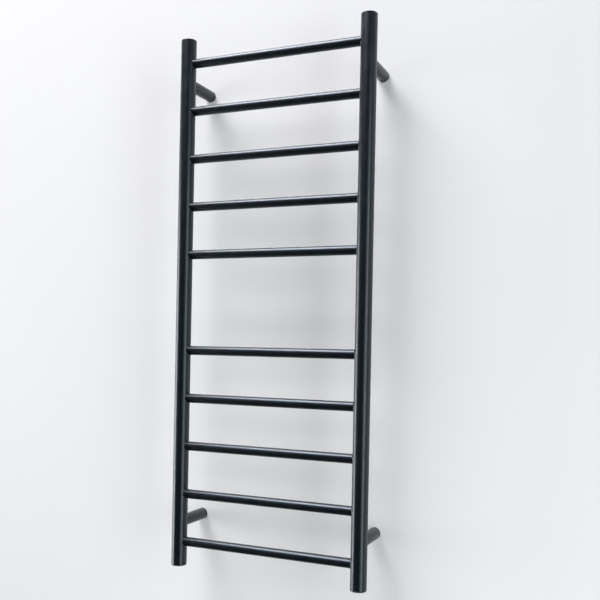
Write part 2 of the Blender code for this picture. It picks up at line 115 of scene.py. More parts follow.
TUBE_STEPS = 96
SMALL_STEPS = 64
ARC_STEPS = 6
EDGE_ROUND = 0.35 * MM
CAP_ROUND = 0.8 * MM
WELD_LEG = 1.3 * MM
WELD_STEPS = 72
WELD_ROOT = 0.35 * MM            # the fillet reaches this far into the joint
HOLE_OVERRUN = 1.4               # how far a post's hole cutter reaches, in post radii
SHARP_ANGLE = math.radians(32)   # edges sharper than this are not shaded smooth
ON_AXIS = 1e-7                   # profile points nearer the axis become poles

WALL_SCREW_SHANK = 2.4 * MM      # radius
WIRED_SCREW_SHANK = 1.6 * MM     # radius
SCREW_SHANKS = {corner: WALL_SCREW_SHANK for corner in CORNERS}
SCREW_SHANKS[WIRED_CORNER] = WIRED_SCREW_SHANK
SCREW_PITCH = 2.0 * MM
SCREW_THREAD = 0.5 * MM
SCREW_PLAIN = 12 * MM
SCREW_POINT = 7 * MM
SCREW_HEAD_RIM = 0.25 * MM
RECESS_DEPTH = 1.6 * MM
RECESS_SHARE = 0.48              # recess radius as a share of the head's
GRUB_CHAMFER = 0.35 * MM
GRUB_PITCH = 0.8 * MM
GRUB_THREAD = 0.3 * MM
GRUB_SOCKET = 2.5 * MM           # across flats

LOBES = 6
LOBE_STEPS = 48
LOBE_DEPTH = 0.14                # lobe height as a share of the recess radius
HEX_SIDES = 6
THREAD_SIDES = 32
RINGS_PER_TURN = 10
FEWEST_RINGS = 4
RIDGE_WIDTH = 0.32               # half a thread ridge, in turns
TIP_CORE = 0.25                  # core radius left at a pointed tip, as a share
TIP_THREAD = 0.3                 # thread depth left at a pointed tip, as a share
TIP_CONE = 0.35                  # length of the cone past the thread, in shank radii

# ---- camera and light ------------------------------------------------------

CAMERA_PLACE = Vector((0.693, -1.546, -0.082))
CAMERA_TURN = math.radians(23.3)
CAMERA_ROLL = math.radians(1.13)
CAMERA_LENS = 48.1
CAMERA_SHIFT_UP = 0.0733
FLOOR_HEIGHT = -1.25
WALL_OFFSET = 0.6 * MM            # the wall stands this far behind the bosses
WALL_WIDTH = 7.0
WALL_HEIGHT = 4.0
FLOOR_SIZE = 60.0
BACKDROP_COLOUR = (0.80, 0.82, 0.84)
FLOOR_GLOW = 0.9                  # keeps the far floor as pale as the backdrop
ROOM_COLOUR = (0.62, 0.78, 1.0)
ROOM_STRENGTH = 0.08
WAVE_RADIANS = 20                 # a wave texture turns this many radians per unit


def make_camera():
    data = bpy.data.cameras.new("camera")
    data.lens = CAMERA_LENS
    data.shift_y = CAMERA_SHIFT_UP
    camera = bpy.data.objects.new("camera", data)
    bpy.context.scene.collection.objects.link(camera)
    level = Matrix.Rotation(CAMERA_TURN, 4, "Z") @ Matrix.Rotation(math.pi / 2, 4, "X")
    roll = Matrix.Rotation(CAMERA_ROLL, 4, "Z")
    camera.matrix_world = Matrix.Translation(CAMERA_PLACE) @ level @ roll
    bpy.context.scene.camera = camera


def make_area_light(name, place, target, size, power, colour):
    data = bpy.data.lights.new(name, "AREA")
    data.shape = "RECTANGLE"
    data.size, data.size_y = size
    data.energy = power
    data.color = colour
    light = bpy.data.objects.new(name, data)
    light.location = place
    aim = Vector(target) - Vector(place)
    light.rotation_euler = aim.to_track_quat("-Z", "Y").to_euler()
    light.visible_camera = False
    bpy.context.scene.collection.objects.link(light)
    return light


def make_lights():
    """A broad ceiling light, a window near the wall on the left and a softbox on the right."""
    make_area_light(
        "ceiling_softbox",
        place=(-1.7, -1.6, 4.5),
        target=(-0.8, -0.6, 0.0),
        size=(3.4, 2.6),
        power=590,
        colour=(0.97, 0.95, 1.0),
    )
    make_area_light(
        "window_left",
        place=(-3.4, -0.75, -0.9),
        target=(0.0, -0.15, -0.3),
        size=(1.0, 3.6),
        power=150,
        colour=(0.97, 1.0, 1.0),
    )
    make_area_light(
        "softbox_right",
        place=(2.7, -1.65, -0.9),
        target=(0.0, -0.1, -0.3),
        size=(1.1, 5.0),
        power=96,
        colour=(0.95, 1.0, 0.99),
    )


def make_wall_wash(wall):
    """A low, shadowless light that only the wall receives, so that it is evenly pale."""
    wash = make_area_light(
        "wall_wash",
        place=(0.5, -1.9, -1.5),
        target=(0.15, 0.0, -0.45),
        size=(2.6, 1.2),
        power=36,
        colour=(1.0, 1.0, 1.0),
    )
    receivers = bpy.data.collections.new("wall_wash_receivers")
    receivers.objects.link(wall)
    wash.light_linking.receiver_collection = receivers
    wash.data.use_shadow = False


def make_world():
    """A dim room for reflections, seen as a plain pale backdrop past the wall."""
    world = bpy.data.worlds.new("soft_room")
    world.use_nodes = True
    tree = world.node_tree
    room = tree.nodes["Background"]
    room.inputs["Color"].default_value = (*ROOM_COLOUR, 1.0)
    room.inputs["Strength"].default_value = ROOM_STRENGTH
    backdrop = tree.nodes.new("ShaderNodeBackground")
    backdrop.inputs["Color"].default_value = (*BACKDROP_COLOUR, 1.0)
    path = tree.nodes.new("ShaderNodeLightPath")
    choose = tree.nodes.new("ShaderNodeMixShader")
    tree.links.new(path.outputs["Is Camera Ray"], choose.inputs["Fac"])
    tree.links.new(room.outputs["Background"], choose.inputs[1])
    tree.links.new(backdrop.outputs["Background"], choose.inputs[2])
    tree.links.new(choose.outputs["Shader"], tree.nodes["World Output"].inputs["Surface"])
    bpy.context.scene.world = world
    bpy.context.scene.view_settings.view_transform = "Standard"


# ---- materials -------------------------------------------------------------


class Graph:
    """A material's node tree, with short calls for the nodes used here."""

    def __init__(self, name):
        self.material = bpy.data.materials.new(name)
        self.material.use_nodes = True
        self.tree = self.material.node_tree
        self.shader = self.tree.nodes["Principled BSDF"]
        self.coords = self.tree.nodes.new("ShaderNodeTexCoord").outputs["Object"]

    def link(self, output, socket):
        self.tree.links.new(output, socket)

    def noise(self, scale, detail=2.0, stretch=(1, 1, 1)):
        mapping = self.tree.nodes.new("ShaderNodeMapping")
        mapping.inputs["Scale"].default_value = stretch
        self.link(self.coords, mapping.inputs["Vector"])
        noise = self.tree.nodes.new("ShaderNodeTexNoise")
        noise.inputs["Scale"].default_value = scale
        noise.inputs["Detail"].default_value = detail
        self.link(mapping.outputs["Vector"], noise.inputs["Vector"])
        return noise.outputs["Fac"]

    def ramp(self, source, low, high, start=0.3, end=0.7):
        """Map a noise value between two colours."""
        ramp = self.tree.nodes.new("ShaderNodeValToRGB")
        ramp.color_ramp.elements[0].position = start
        ramp.color_ramp.elements[0].color = (*low, 1.0)
        ramp.color_ramp.elements[1].position = end
        ramp.color_ramp.elements[1].color = (*high, 1.0)
        self.link(source, ramp.inputs["Fac"])
        return ramp.outputs["Color"]

    def remap(self, source, low, high, start=0.3, end=0.7):
        node = self.tree.nodes.new("ShaderNodeMapRange")
        node.inputs["From Min"].default_value = start
        node.inputs["From Max"].default_value = end
        node.inputs["To Min"].default_value = low
        node.inputs["To Max"].default_value = high
        self.link(source, node.inputs["Value"])
        return node.outputs["Result"]

    def mix(self, factor, first, second):
        node = self.tree.nodes.new("ShaderNodeMix")
        node.data_type = "RGBA"
        self.link(factor, node.inputs["Factor"])
        self.link(first, node.inputs["A"])
        if isinstance(second, tuple):
            node.inputs["B"].default_value = (*second, 1.0)
        else:
            self.link(second, node.inputs["B"])
        return node.outputs["Result"]

    def bump(self, height, strength, distance, under=None):
        node = self.tree.nodes.new("ShaderNodeBump")
        node.inputs["Strength"].default_value = strength
        node.inputs["Distance"].default_value = distance
        self.link(height, node.inputs["Height"])
        if under is not None:
            self.link(under, node.inputs["Normal"])
        return node.outputs["Normal"]

    def upward(self):
        """1 on faces that look up, 0 elsewhere."""
        geometry = self.tree.nodes.new("ShaderNodeNewGeometry")
        split = self.tree.nodes.new("ShaderNodeSeparateXYZ")
        self.link(geometry.outputs["Normal"], split.inputs["Vector"])
        return self.remap(split.outputs["Z"], low=0.0, high=1.0, start=0.55, end=1.0)

    def worn_edge(self, start, end):
        geometry = self.tree.nodes.new("ShaderNodeNewGeometry")
        return self.remap(geometry.outputs["Pointiness"], low=0.0, high=1.0, start=start, end=end)

    def rings(self, spacing, axis="Z"):
        """Fine turning lines round the piece's own axis."""
        wave = self.tree.nodes.new("ShaderNodeTexWave")
        wave.wave_type = "RINGS"
        wave.rings_direction = axis
        wave.inputs["Scale"].default_value = math.tau / (WAVE_RADIANS * spacing)
        wave.inputs["Distortion"].default_value = 0.6
        wave.inputs["Detail"].default_value = 2.0
        self.link(self.coords, wave.inputs["Vector"])
        return wave.outputs["Fac"]


def powder_coat(name, roughness=(0.30, 0.38)):
    """Satin black powder coat: orange peel, cloudy sheen, faint dust on top, rubbed edges."""
    graph = Graph(name)
    cloud = graph.noise(scale=26, detail=4)
    colour = graph.ramp(cloud, low=(0.0030, 0.0042, 0.0058), high=(0.0055, 0.0075, 0.0100))
    speck = graph.remap(graph.noise(scale=2600, detail=1), low=0.0, high=0.5, start=0.62, end=0.74)
    speck_colour = (0.020, 0.026, 0.032)
    colour = graph.mix(speck, colour, speck_colour)
    dust = graph.tree.nodes.new("ShaderNodeMath")
    dust.operation = "MULTIPLY"
    graph.link(graph.upward(), dust.inputs[0])
    patches = graph.noise(scale=140, detail=5)
    graph.link(graph.remap(patches, low=0.0, high=0.05, start=0.4, end=0.75), dust.inputs[1])
    dust_colour = (0.30, 0.31, 0.33)
    colour = graph.mix(dust.outputs["Value"], colour, dust_colour)
    rub = graph.worn_edge(start=0.56, end=0.70)
    rubbed_colour = (0.030, 0.036, 0.041)
    colour = graph.mix(rub, colour, rubbed_colour)
    graph.link(colour, graph.shader.inputs["Base Color"])
    sheen = graph.noise(scale=55, detail=4)
    graph.link(graph.remap(sheen, *roughness), graph.shader.inputs["Roughness"])
    peel = graph.bump(graph.noise(scale=520), strength=0.60, distance=0.30 * MM)
    grain = graph.bump(graph.noise(scale=1900), strength=0.60, distance=0.12 * MM, under=peel)
    graph.link(grain, graph.shader.inputs["Normal"])
    graph.shader.inputs["Specular IOR Level"].default_value = 0.55
    graph.shader.inputs["Specular Tint"].default_value = (0.80, 0.92, 1.0, 1.0)
    return graph.material


def metal(name, low, high, roughness, lines=None, pits=900):
    """Plated or turned metal with turning lines, patchy sheen and small pits."""
    graph = Graph(name)
    colour = graph.ramp(graph.noise(scale=240, detail=5), low, high)
    graph.link(colour, graph.shader.inputs["Base Color"])
    sheen = graph.noise(scale=420, detail=4)
    graph.link(graph.remap(sheen, *roughness), graph.shader.inputs["Roughness"])
    depth = 0.04 * MM
    normal = graph.bump(graph.noise(pits, detail=3), strength=0.15, distance=depth)
    if lines:
        normal = graph.bump(graph.rings(lines), strength=0.35, distance=depth, under=normal)
    graph.link(normal, graph.shader.inputs["Normal"])
    graph.shader.inputs["Metallic"].default_value = 1.0
    return graph.material


def moulded(name, low, high, roughness, grain, depth, stretch=(1, 1, 1), sheen=0.0):
    """Rubber, silicone or plastic with a fine moulded or drawn grain."""
    graph = Graph(name)
    colour = graph.ramp(graph.noise(scale=160, detail=4), low, high)
    graph.link(colour, graph.shader.inputs["Base Color"])
    gloss = graph.noise(scale=300, detail=3)
    graph.link(graph.remap(gloss, *roughness), graph.shader.inputs["Roughness"])
    drawn = graph.noise(grain, detail=3, stretch=stretch)
    graph.link(graph.bump(drawn, strength=0.4, distance=depth), graph.shader.inputs["Normal"])
    graph.shader.inputs["Sheen Weight"].default_value = sheen
    return graph.material


def stage_paint(name, low, high, glow=0.0):
    """Pale matt paint with a faint roller texture; a glow keeps a far floor pale."""
    graph = Graph(name)
    cloud = graph.noise(scale=1.2, detail=3)
    graph.link(graph.ramp(cloud, low, high), graph.shader.inputs["Base Color"])
    graph.shader.inputs["Roughness"].default_value = 0.6
    graph.shader.inputs["Specular IOR Level"].default_value = 0.2
    graph.shader.inputs["Emission Color"].default_value = (*BACKDROP_COLOUR, 1.0)
    graph.shader.inputs["Emission Strength"].default_value = glow
    roller = graph.bump(graph.noise(scale=260, detail=3), strength=0.05, distance=0.2 * MM)
    graph.link(roller, graph.shader.inputs["Normal"])
    return graph


def see_through_back(graph):
    """Let views from behind a one-sided surface through."""
    nodes = graph.tree.nodes
    clear = nodes.new("ShaderNodeBsdfTransparent")
    choose = nodes.new("ShaderNodeMixShader")
    geometry = nodes.new("ShaderNodeNewGeometry")
    graph.link(geometry.outputs["Backfacing"], choose.inputs["Fac"])
    graph.link(graph.shader.outputs["BSDF"], choose.inputs[1])
    graph.link(clear.outputs["BSDF"], choose.inputs[2])
    graph.link(choose.outputs["Shader"], nodes["Material Output"].inputs["Surface"])


# ---- mesh helpers ----------------------------------------------------------


def link_object(name, mesh, place=(0, 0, 0)):
    piece = bpy.data.objects.new(name, mesh)
    piece.location = place
    bpy.context.scene.collection.objects.link(piece)
    return piece


def finish_piece(piece, material, body, slot_name, *nodes):
    """Shade, paint and attach a piece, and hide the CAD nodes it stands for."""
    piece.data.materials.clear()
    piece.data.materials.append(material)
    piece.data.shade_smooth()
    piece.data.set_sharp_from_angle(angle=SHARP_ANGLE)
    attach(piece, body)
    if nodes:
        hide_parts(*nodes)


def mesh_from(name, shape):
    """A mesh with a bmesh's faces turned outward; the bmesh is used up."""
    bmesh.ops.recalc_face_normals(shape, faces=shape.faces)
    mesh = bpy.data.meshes.new(name)
    shape.to_mesh(mesh)
    shape.free()
    return mesh


def add_ring(shape, steps, height, radius_at):
    """A ring of vertices about Z, with its radius given for each angle."""
    ring = []
    for step in range(steps):
        angle = math.tau * step / steps
        radius = radius_at(angle)
        ring.append(shape.verts.new((radius * math.cos(angle), radius * math.sin(angle), height)))
    return ring


def add_pole(shape, steps, height):
    """One vertex on the axis, standing in for a whole ring."""
    return [shape.verts.new((0, 0, height))] * steps


def join_rings(shape, pairs):
    """Faces between pairs of rings; a pole's repeated vertices give triangles."""
    for first, second in pairs:
        steps = len(first)
        for step in range(steps):
            after = (step + 1) % steps
            corners = [first[step], first[after], second[after], second[step]]
            corners = list(dict.fromkeys(corners))
            if len(corners) > 2:
                shape.faces.new(corners)


def lathe(name, profile, steps, closed=False):
    """Turn (radius, height) points about Z; points on the axis become poles."""
    shape = bmesh.new()
    rings = []
    for radius, height in profile:
        if radius < ON_AXIS:
            rings.append(add_pole(shape, steps, height))
        else:
            rings.append(add_ring(shape, steps, height, lambda angle, radius=radius: radius))
    pairs = list(zip(rings, rings[1:]))
    if closed:
        pairs.append((rings[-1], rings[0]))
    join_rings(shape, pairs)
    return mesh_from(name, shape)


def arc(centre_radius, centre_height, rounding, start, end):
    """Points on an arc of a profile; start and end are in quarter turns from outward."""
    points = []
    for step in range(ARC_STEPS + 1):
        angle = math.pi / 2 * (start + (end - start) * step / ARC_STEPS)
        points.append((centre_radius + rounding * math.cos(angle),
                       centre_height + rounding * math.sin(angle)))
    return points


def tube_mesh(name, outer, inner, length, rounding, steps):
    half = length / 2
    profile = arc(outer - rounding, half - rounding, rounding, 1, 0)
    profile += arc(outer - rounding, -half + rounding, rounding, 0, -1)
    profile += [(inner, -half), (inner, half)]
    return lathe(name, profile, steps, closed=True)


def cylinder_cutter(shape, radius, start, end, steps=SMALL_STEPS, end_radius=None):
    axis = Vector(end) - Vector(start)
    turn = Vector((0, 0, 1)).rotation_difference(axis).to_matrix().to_4x4()
    centre = Matrix.Translation((Vector(start) + Vector(end)) / 2)
    bmesh.ops.create_cone(
        shape,
        cap_ends=True,
        segments=steps,
        radius1=radius,
        radius2=radius if end_radius is None else end_radius,
        depth=axis.length,
        matrix=centre @ turn,
    )


def hex_socket(across_flats, start, end):
    """A hexagonal prism cutter between two heights on the Z axis."""
    socket = bmesh.new()
    across_corners = across_flats / math.cos(math.pi / HEX_SIDES)
    cylinder_cutter(socket, across_corners / 2, (0, 0, start), (0, 0, end), HEX_SIDES)
    return socket


def cut(piece, shape):
    """Take a bmesh in the piece's own axes away from it, and keep only the result."""
    bpy.context.view_layer.update()
    mesh = bpy.data.meshes.new("cutter")
    shape.to_mesh(mesh)
    shape.free()
    cutter = link_object("cutter", mesh)
    cutter.matrix_world = piece.matrix_world.copy()
    boolean = piece.modifiers.new("cut", "BOOLEAN")
    boolean.operation = "DIFFERENCE"
    boolean.solver = "EXACT"
    boolean.object = cutter
    graph = bpy.context.evaluated_depsgraph_get()
    result = bpy.data.meshes.new_from_object(piece.evaluated_get(graph))
    piece.modifiers.clear()
    piece.data = result
    bpy.data.objects.remove(cutter, do_unlink=True)
    bpy.data.meshes.remove(mesh)


def six_lobe_cutter(radius, low, high):
    """A six-lobed driver recess between two heights on the Z axis."""
    def lobed(angle):
        return radius * (1 - LOBE_DEPTH + LOBE_DEPTH * math.cos(LOBES * angle))

    shape = bmesh.new()
    bottom = add_ring(shape, LOBE_STEPS, low, lobed)
    top = add_ring(shape, LOBE_STEPS, high, lobed)
    shape.faces.new(bottom)
    shape.faces.new(top)
    join_rings(shape, [(bottom, top)])
    bmesh.ops.recalc_face_normals(shape, faces=shape.faces)
    return shape


def threaded_mesh(name, head, shank, start, end, pitch, depth, point=0.0):
    """A turned head profile carried on as a helical thread, to a flat or pointed tip.

    point is the length over which the thread narrows; 0 leaves the tip flat.
    """
    shape = bmesh.new()
    rings = [add_pole(shape, THREAD_SIDES, head[0][1])]
    for radius, height in head:
        rings.append(add_ring(shape, THREAD_SIDES, height, lambda angle, radius=radius: radius))
    count = max(FEWEST_RINGS, round((start - end) / pitch * RINGS_PER_TURN))
    for index in range(count + 1):
        height = start + (end - start) * index / count
        run_in = min(1.0, (start - height) / pitch)
        near_tip = min(1.0, max(0.0, (height - end) / point)) if point else 1.0
        core = (shank - depth) * (TIP_CORE + (1 - TIP_CORE) * near_tip)
        ridge_height = depth * run_in * (TIP_THREAD + (1 - TIP_THREAD) * near_tip)

        def crest(angle, height=height, core=core, ridge_height=ridge_height):
            phase = (height / pitch + angle / math.tau) % 1.0
            return core + ridge_height * max(0.0, 1.0 - abs(phase - 0.5) / RIDGE_WIDTH)

        rings.append(add_ring(shape, THREAD_SIDES, height, crest))
    cone = shank * TIP_CONE if point else 0.0
    rings.append(add_pole(shape, THREAD_SIDES, end - cone))
    join_rings(shape, zip(rings, rings[1:]))
    return mesh_from(name, shape)


def add_weld(shape, tube_radius, turn):
    """Add a concave weld fillet where a tube along +X meets a post along Z."""
    sections = []
    for step in range(WELD_STEPS):
        angle = math.tau * step / WELD_STEPS
        across, up = math.cos(angle), math.sin(angle)

        def on_post(radius, sink=0.0):
            side = radius * across
            return Vector((math.sqrt(POST_RADIUS ** 2 - side ** 2) - sink, side, radius * up))

        corner = on_post(tube_radius)
        tube_toe = corner + Vector((WELD_LEG, 0, 0))
        post_toe = on_post(tube_radius + WELD_LEG)
        section = []
        for index in range(ARC_STEPS + 1):
            part = index / ARC_STEPS
            inner = corner.lerp(tube_toe, 1 - part)
            outer = corner.lerp(post_toe, part)
            section.append(inner.lerp(outer, part))
        section.append(on_post(tube_radius + WELD_LEG, WELD_ROOT))
        root = on_post(tube_radius - WELD_ROOT, WELD_ROOT)
        section.append(root)
        section.append(Vector((tube_toe.x, root.y, root.z)))
        sections.append([shape.verts.new(turn @ point) for point in section])
    join_rings(shape, zip(sections, sections[1:] + sections[:1]))


# ---- pieces ----------------------------------------------------------------


def make_post(side_name, paint):
    side = SIDES[side_name]
    node = f"{side_name}_post"
    length = extent(node).z
    mesh = tube_mesh(f"{node}_tube", POST_RADIUS, POST_BORE, length, EDGE_ROUND, TUBE_STEPS)
    post = link_object(f"{node}_tube", mesh, middle(node))
    past = POST_RADIUS * HOLE_OVERRUN
    holes = bmesh.new()
    for rung in RUNGS:
        height = middle(rung).z
        cylinder_cutter(holes, RUNG_RADIUS + GAP, (0, 0, height), (-side * past, 0, height))
    for corner in CORNERS:
        if CORNERS[corner][0] == side:
            height = middle(f"{corner}_standoff").z
            cylinder_cutter(holes, STANDOFF_RADIUS + GAP, (0, 0, height), (0, past, height))
    cut(post, holes)
    finish_piece(post, paint, "rail", "powder_coat", node)
    make_welds(side_name, paint)


def make_welds(side_name, paint):
    """All the weld fillets on one post: a ring for each rung and standoff."""
    side = SIDES[side_name]
    post = middle(f"{side_name}_post")
    shape = bmesh.new()
    turned = Matrix.Rotation(0 if side < 0 else math.pi, 4, "Z")
    for rung in RUNGS:
        add_weld(shape, RUNG_RADIUS, Matrix.Translation((0, 0, middle(rung).z)) @ turned)
    backward = Matrix.Rotation(math.pi / 2, 4, "Z")
    for corner in CORNERS:
        if CORNERS[corner][0] == side:
            height = middle(f"{corner}_standoff").z
            add_weld(shape, STANDOFF_RADIUS, Matrix.Translation((0, 0, height)) @ backward)
    mesh = mesh_from(f"{side_name}_post_welds", shape)
    welds = link_object(mesh.name, mesh, (post.x, post.y, 0))
    finish_piece(welds, paint, "rail", "powder_coat")


def make_rung(node, paint):
    length = extent(node).x
    bore = RUNG_RADIUS - RUNG_WALL
    mesh = tube_mesh(f"{node}_tube", RUNG_RADIUS, bore, length, EDGE_ROUND, SMALL_STEPS)
    mesh.transform(Matrix.Rotation(math.pi / 2, 4, "Y"))
    rung = link_object(mesh.name, mesh, middle(node))
    finish_piece(rung, paint, "rail", "powder_coat", node)


def make_cap(corner, paint):
    """Flat cap with a softly rounded rim, and a spigot inside the post."""
    node = f"{corner}_end_cap"
    spigot = POST_BORE - GAP
    tip = CAP_THICKNESS - CAP_DEPTH
    wired = corner == WIRED_CORNER
    profile = [(0, CAP_THICKNESS)]
    profile += arc(POST_RADIUS - CAP_ROUND, CAP_THICKNESS - CAP_ROUND, CAP_ROUND, 1, 0)
    profile += [(POST_RADIUS, EDGE_ROUND), (POST_RADIUS - EDGE_ROUND, 0), (spigot, 0)]
    profile += [(spigot, tip + CAP_ROUND), (spigot - CAP_ROUND, tip)]
    if wired:
        profile += [(0, tip)]
    else:
        hollow = spigot - CAP_SPIGOT_WALL
        profile += [(hollow, tip), (hollow, 0), (0, 0)]
    mesh = lathe(f"{node}_turned", profile, TUBE_STEPS)
    level = CORNERS[corner][1]
    if level < 0:
        mesh.transform(Matrix.Rotation(math.pi, 4, "X"))
    low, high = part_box(node)
    seat = high[2] - CAP_THICKNESS if level > 0 else low[2] + CAP_THICKNESS
    cap = link_object(mesh.name, mesh, (middle(node).x, middle(node).y, seat))
    if wired:
        hole = bmesh.new()
        inner_face = -tip
        cylinder_cutter(hole, EARTH_SCREW_RADIUS + GAP, (0, 0, inner_face + CAP_THICKNESS),
                        (0, 0, inner_face - EARTH_SCREW_LENGTH - GAP))
        cut(cap, hole)
    finish_piece(cap, paint, "rail", "powder_coat", node)


def make_standoff(corner, paint):
    node = f"{corner}_standoff"
    length = extent(node).y
    mesh = tube_mesh(f"{node}_sleeve", STANDOFF_RADIUS, STANDOFF_BORE, length, EDGE_ROUND, TUBE_STEPS)
    mesh.transform(Matrix.Rotation(math.pi / 2, 4, "X"))
    sleeve = link_object(mesh.name, mesh, middle(node))
    along = middle(f"{corner}_grub_screw").y - middle(node).y
    hole = bmesh.new()
    cylinder_cutter(hole, GRUB_RADIUS + GAP, (0, along, 0), (0, along, -2 * STANDOFF_RADIUS))
    cut(sleeve, hole)
    finish_piece(sleeve, paint, "rail", "powder_coat", node)


def make_boss(corner, finish):
    """Turned boss with a countersunk screw hole; the wired one has its cable way."""
    node = f"{corner}_wall_boss"
    place = middle(node)
    profile = [(0, BOSS_DEPTH)]
    profile += arc(BOSS_SPIGOT_RADIUS - CAP_ROUND, BOSS_DEPTH - CAP_ROUND, CAP_ROUND, 1, 0)
    profile += [(BOSS_SPIGOT_RADIUS, BOSS_FLANGE)]
    profile += arc(STANDOFF_RADIUS - CAP_ROUND, BOSS_FLANGE - CAP_ROUND, CAP_ROUND, 1, 0)
    profile += [(STANDOFF_RADIUS, EDGE_ROUND), (STANDOFF_RADIUS - EDGE_ROUND, 0), (0, 0)]
    mesh = lathe(f"{node}_turned", profile, TUBE_STEPS)
    mesh.transform(Matrix.Rotation(math.pi / 2, 4, "X"))
    boss = link_object(mesh.name, mesh, (place.x, 0, place.z))
    screw = f"{corner}_wall_screw"
    head = extent(screw).x / 2
    shank = SCREW_SHANKS[corner] + GAP
    drop = middle(screw).z - place.z
    hole = bmesh.new()
    cylinder_cutter(hole, shank, (0, BOSS_FLANGE, drop), (0, -2 * BOSS_DEPTH, drop))
    cut(boss, hole)
    sink = bmesh.new()
    sunk = head - SCREW_SHANKS[corner] + GAP
    over = EDGE_ROUND
    cylinder_cutter(sink, shank, (0, -BOSS_DEPTH + sunk, drop), (0, -BOSS_DEPTH - over, drop),
                    end_radius=shank + sunk + over)
    cut(boss, sink)
    if corner == WIRED_CORNER:
        cut_cable_way(boss, middle("cable_grommet").z - place.z)
    finish_piece(boss, finish, "wall_fixings", "coated_zinc", node)


def cut_cable_way(boss, rise):
    """A round hole through the flange that is an open slot along the spigot."""
    hole = bmesh.new()
    cylinder_cutter(hole, CABLE_HOLE_RADIUS, (0, BOSS_FLANGE, rise), (0, -2 * BOSS_DEPTH, rise))
    cut(boss, hole)
    spigot = BOSS_DEPTH - BOSS_FLANGE
    slot = bmesh.new()
    size = Matrix.Diagonal((2 * CABLE_HOLE_RADIUS, 2 * spigot, STANDOFF_RADIUS, 1))
    centre = Matrix.Translation((0, -BOSS_DEPTH, rise + STANDOFF_RADIUS / 2))
    bmesh.ops.create_cube(slot, size=1, matrix=centre @ size)
    cut(boss, slot)


def make_wall_screw(corner, finish):
    """Countersunk screw with a six-lobe recess and a real helical thread."""
    node = f"{corner}_wall_screw"
    head = extent(node).x / 2
    shank = SCREW_SHANKS[corner]
    rim = SCREW_HEAD_RIM
    top = [(head - rim, 0), (head, -rim), (shank, -(head - shank)), (shank, -SCREW_PLAIN)]
    mesh = threaded_mesh(
        f"{node}_threaded",
        top,
        shank,
        start=-SCREW_PLAIN - rim,
        end=-extent(node).y + shank * TIP_CONE,
        pitch=SCREW_PITCH,
        depth=SCREW_THREAD * shank / WALL_SCREW_SHANK,
        point=SCREW_POINT,
    )
    screw = link_object(mesh.name, mesh, (middle(node).x, front_of(node), middle(node).z))
    screw.rotation_euler = (math.pi / 2, 0, 0)
    cut(screw, six_lobe_cutter(head * RECESS_SHARE, -RECESS_DEPTH, RECESS_DEPTH))
    finish_piece(screw, finish, "wall_fixings", "zinc_plate", node)


def make_grub_screw(corner, finish):
    """Set screw with a hexagon socket in its lower end."""
    node = f"{corner}_grub_screw"
    length = extent(node).z
    chamfer = GRUB_CHAMFER
    top = [(GRUB_RADIUS - chamfer, 0), (GRUB_RADIUS - chamfer / 2, -chamfer / 2)]
    mesh = threaded_mesh(f"{node}_threaded", top, GRUB_RADIUS, start=-chamfer, end=-length,
                         pitch=GRUB_PITCH, depth=GRUB_THREAD)
    screw = link_object(mesh.name, mesh, (middle(node).x, middle(node).y, top_of(node)))
    cut(screw, hex_socket(GRUB_SOCKET, -2 * length, -length / 2))
    finish_piece(screw, finish, f"{corner}_grub", "black_oxide", node)


# ---- connections inside the right post ---------------------------------------


def make_splice(node, finish):
    """Shrink sleeve over two crimps, drawn in at its ends and at each crimp."""
    half = extent(node).z / 2
    radius = extent(node).x / 2
    profile = [(0, half)]
    for step in range(SPLICE_RINGS + 1):
        height = half * (1 - 2 * step / SPLICE_RINGS)
        reach = max(0.0, (abs(height) - half + SPLICE_TAPER) / SPLICE_TAPER)
        drawn_in = (radius - SPLICE_END_RADIUS) * reach * reach * (3 - 2 * reach)
        from_crimp = (abs(height) - half * CRIMP_PLACE) / CRIMP_SPREAD
        drawn_in += CRIMP_DEPTH * math.exp(-from_crimp ** 2)
        profile.append((radius - drawn_in, height))
    profile.append((0, -half))
    mesh = lathe(f"{node}_sleeve", profile, SMALL_STEPS)
    splice = link_object(mesh.name, mesh, middle(node))
    finish_piece(splice, finish, "rail", "shrink_tube", node)


def make_grommet(finish):
    """Rubber sleeve with two soft collars and a groove between them."""
    node = "cable_grommet"
    outer = extent(node).x / 2
    inner = outer - GROMMET_WALL
    half = extent(node).y / 2
    collar = half / 3
    edge = EDGE_ROUND
    profile = arc(outer - edge, half - edge, edge, 1, 0)
    profile += [(outer, collar + edge), (outer - GROMMET_GROOVE, collar)]
    profile += [(outer - GROMMET_GROOVE, -collar), (outer, -collar - edge)]
    profile += arc(outer - edge, -half + edge, edge, 0, -1)
    profile += [(inner + edge, -half), (inner, -half + edge)]
    profile += [(inner, half - edge), (inner + edge, half)]
    mesh = lathe(f"{node}_moulded", profile, SMALL_STEPS, closed=True)
    mesh.transform(Matrix.Rotation(math.pi / 2, 4, "X"))
    grommet = link_object(mesh.name, mesh, middle(node))
    finish_piece(grommet, finish, "wall_fixings", "grommet_rubber", node)


def squared(value):
    """A cosine or sine pulled towards 1 or -1, which turns a circle into a rounded box."""
    return math.copysign(abs(value) ** CUTOUT_SQUARENESS, value)


def cutout_inset(height, half_height):
    """How far the case's side stands in at a height: rounded ends and a middle groove."""
    end = max(0.0, abs(height) - half_height + CUTOUT_ROUND)
    inset = CUTOUT_ROUND - math.sqrt(max(0.0, CUTOUT_ROUND ** 2 - end ** 2))
    if abs(height) < CUTOUT_SEAM:
        inset += CUTOUT_SEAM / 2
    return inset


